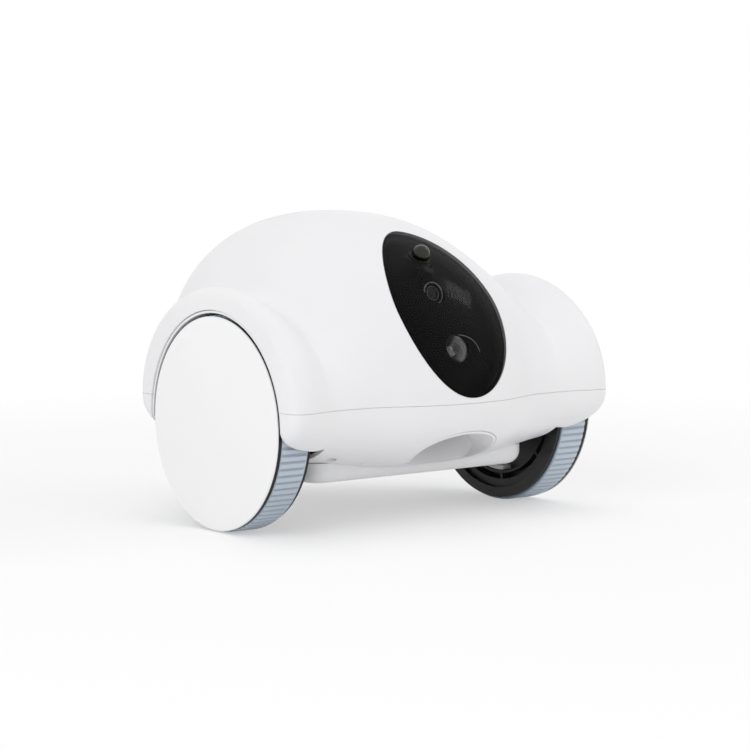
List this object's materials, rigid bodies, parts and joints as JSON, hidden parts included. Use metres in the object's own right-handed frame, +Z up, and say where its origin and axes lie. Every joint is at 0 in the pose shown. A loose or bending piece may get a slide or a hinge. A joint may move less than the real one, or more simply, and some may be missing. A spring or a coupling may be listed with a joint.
{
  "type": "robotic pet camera",
  "caption": "Two-wheeled roving pet camera with a domed body, smoked visor, treat hopper and outlet, and a small rear castor.",
  "frame": {"origin": "on the floor under the middle of the body's width and length", "axes": "+X to the rover's left side along the wheel axle, +Y to the rear, +Z up"},
  "size_m": [0.239, 0.241, 0.183],
  "materials": {
    "body_white": "glossy",
    "visor_smoke": "glossy, smoked",
    "dark_plastic": "fine satin",
    "tyre_rubber": "satin",
    "pale_plastic": "satin",
    "lens_glass": "coated",
    "lamp_chrome": "mirror bright",
    "lamp_clear": "clear",
    "sensor_amber": "translucent",
    "board_green": "solder mask",
    "battery_wrap": "shrink wrap",
    "motor_steel": "plated",
    "bright_steel": "plated",
    "bearing_brass": "turned",
    "speaker_black": "matt"
  },
  "bodies": {
    "base": {"axle_bushes": "bearing_brass", "battery_pack": "battery_wrap", "belly_cover": "body_white", "belly_screws": "bright_steel", "board_screws": "bright_steel", "camera_barrel": "dark_plastic", "camera_board": "board_green", "camera_lens": "lens_glass", "castor_bush": "bearing_brass", "charge_port": "motor_steel", "chassis_plate": "pale_plastic", "drive_motor_left": "motor_steel", "drive_motor_right": "motor_steel", "fascia": "dark_plastic", "feeder_motor": "motor_steel", "gearbox_case_left": "pale_plastic", "gearbox_case_right": "pale_plastic", "gearbox_cover_left": "pale_plastic", "gearbox_cover_right": "pale_plastic", "gearbox_screws": "bright_steel", "hinge_pin": "bright_steel", "lamp_board": "board_green", "lamp_lens": "lamp_clear", "lamp_reflector": "lamp_chrome", "lower_shell": "body_white", "main_board": "board_green", "microphone": "motor_steel", "power_switch": "dark_plastic", "sensor_board": "board_green", "sensor_dome": "sensor_amber", "shell_screws": "bright_steel", "speaker": "speaker_black", "status_light": "lamp_clear", "treat_chute": "pale_plastic", "treat_hopper": "pale_plastic", "upper_shell": "body_white", "visor": "visor_smoke", "wheel_well_left": "dark_plastic", "wheel_well_right": "dark_plastic"},
    "wheel_left": {"hub_cap_left": "body_white", "wheel_rim_left": "dark_plastic", "tyre_left": "tyre_rubber", "drive_axle_left": "bright_steel", "drive_gear_left": "pale_plastic", "hub_screw_left": "bright_steel"},
    "pinion_left": {"motor_pinion_left": "bearing_brass"},
    "wheel_right": {"hub_cap_right": "body_white", "wheel_rim_right": "dark_plastic", "tyre_right": "tyre_rubber", "drive_axle_right": "bright_steel", "drive_gear_right": "pale_plastic", "hub_screw_right": "bright_steel"},
    "pinion_right": {"motor_pinion_right": "bearing_brass"},
    "lid": {"treat_lid": "body_white"},
    "rotor": {"treat_rotor": "pale_plastic"},
    "castor": {"castor_fork": "dark_plastic", "castor_clip": "bright_steel", "castor_axle": "bright_steel"},
    "castor_roller": {"castor_wheel": "dark_plastic"},
    "button": {"power_button": "body_white"}
  },
  "joints": [
    {"name": "wheel_left_spin", "type": "hinge", "parent": "base", "child": "wheel_left", "pos_m": [0.1, -0.02762, 0.063], "axis": [1, 0, 0], "continuous": true},
    {"name": "pinion_left_spin", "type": "hinge", "parent": "base", "child": "pinion_left", "pos_m": [0.0725, -0.01152, 0.063], "axis": [1, 0, 0], "continuous": true},
    {"name": "wheel_right_spin", "type": "hinge", "parent": "base", "child": "wheel_right", "pos_m": [-0.1, -0.02762, 0.063], "axis": [1, 0, 0], "continuous": true},
    {"name": "pinion_right_spin", "type": "hinge", "parent": "base", "child": "pinion_right", "pos_m": [-0.0725, -0.01152, 0.063], "axis": [1, 0, 0], "continuous": true},
    {"name": "lid_hinge", "type": "hinge", "parent": "base", "child": "lid", "pos_m": [0, 0.08918, 0.15872], "axis": [-1, 0, 0], "range_deg": [0, 95]},
    {"name": "rotor_spin", "type": "hinge", "parent": "base", "child": "rotor", "pos_m": [0, 0.05638, 0.112], "axis": [0, 0, 1], "continuous": true},
    {"name": "castor_swivel", "type": "hinge", "parent": "base", "child": "castor", "pos_m": [0, 0.06738, 0.03], "axis": [0, 0, 1], "continuous": true},
    {"name": "castor_roll", "type": "hinge", "parent": "castor", "child": "castor_roller", "pos_m": [0, 0.07738, 0.0125], "axis": [1, 0, 0], "continuous": true},
    {"name": "button_press", "type": "slide", "parent": "base", "child": "button", "axis": [0, -1, 0], "range_m": [0, 0.0008], "stiffness_N_per_m": 400, "springref_m": -0.0005}
  ],
  "couplings": [
    {"joint": "pinion_left_spin", "follows": "wheel_left_spin", "ratio": -2.8333},
    {"joint": "pinion_right_spin", "follows": "wheel_right_spin", "ratio": -2.8333}
  ]
}
